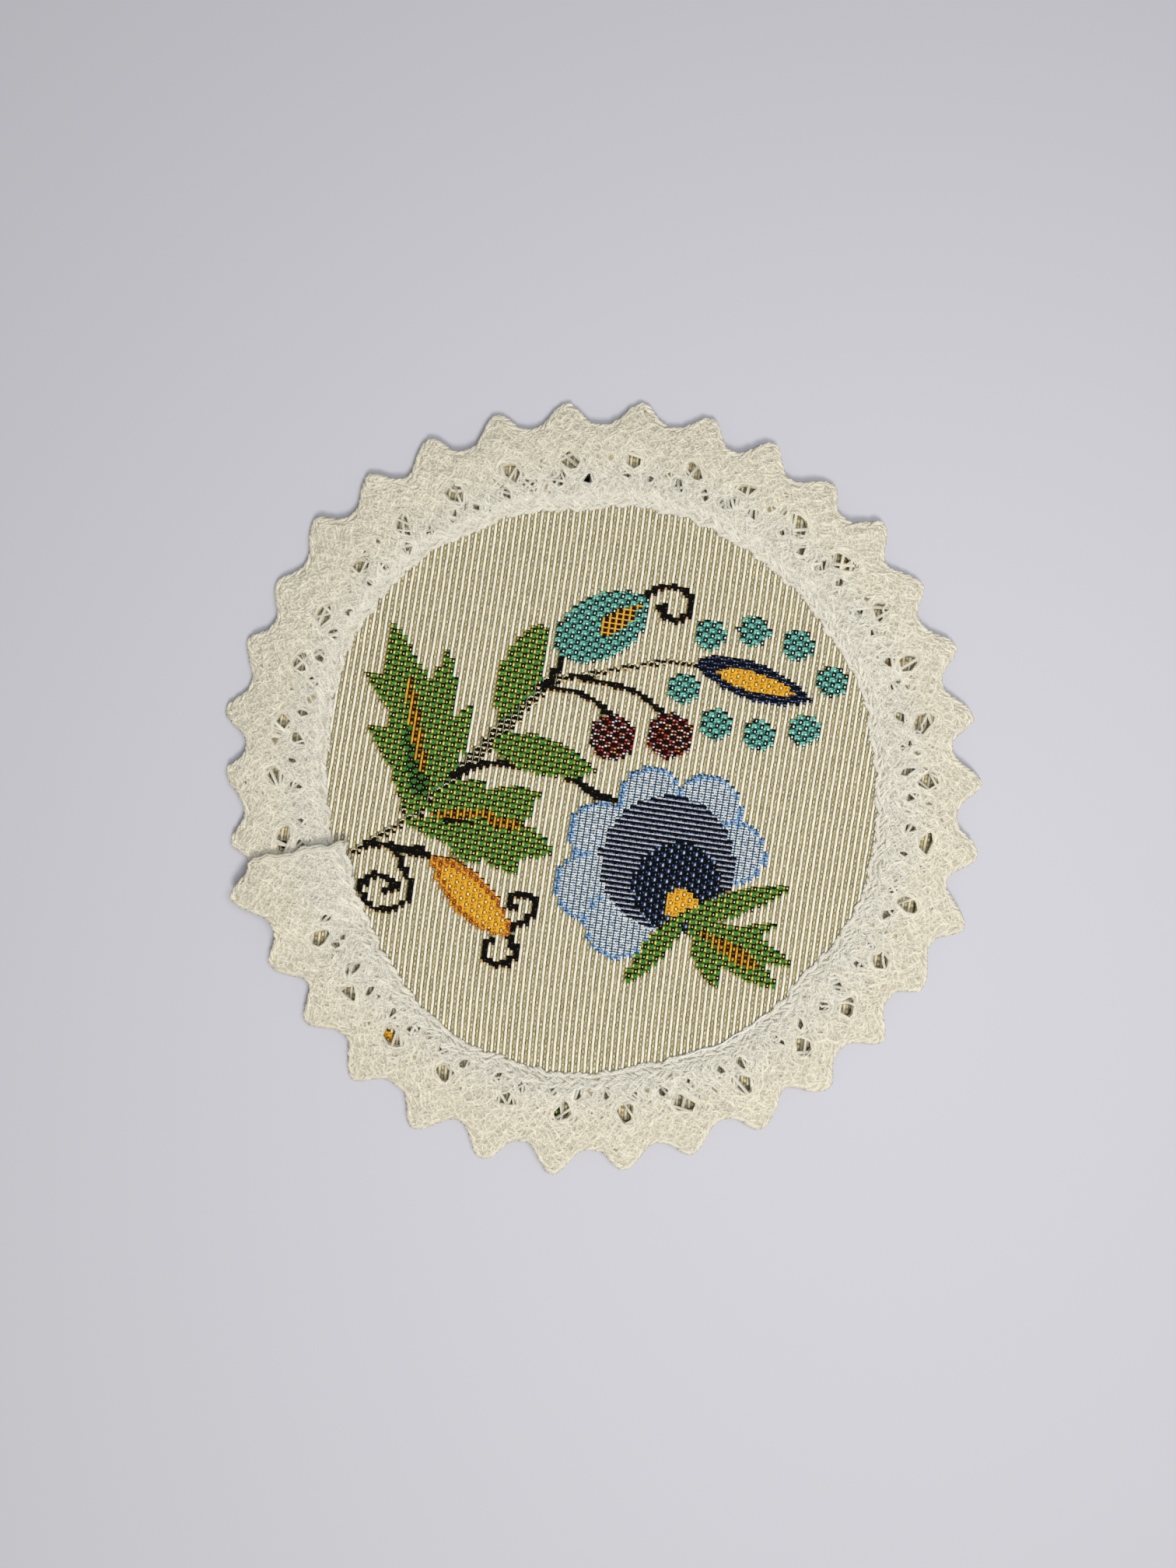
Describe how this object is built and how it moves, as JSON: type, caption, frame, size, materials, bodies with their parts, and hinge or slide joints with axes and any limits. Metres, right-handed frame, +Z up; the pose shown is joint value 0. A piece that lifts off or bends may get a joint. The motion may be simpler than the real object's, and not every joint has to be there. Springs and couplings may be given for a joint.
{
  "type": "lace-edged round cloth coaster",
  "caption": "Round table coaster of ribbed jacquard cloth with a woven flower spray, edged with a gathered strip of pointed cotton lace that overlaps at its ends.",
  "frame": {"origin": "under the middle of the whole coaster, on the plane it lies on", "axes": "+Z up from the table, +Y towards the top of the woven flower spray, +X to its right; the lace's lap is at -X"},
  "size_m": [0.1194, 0.1218, 0.004],
  "materials": {
    "jacquard_cloth": "matt ribbed jacquard, cream ribs over an olive ground, with a woven flower spray",
    "cotton_lace": "matt warm cream cotton yarn"
  },
  "bodies": {
    "root": {"woven_disc": "jacquard_cloth", "lace_edging": "cotton_lace"}
  },
  "joints": []
}
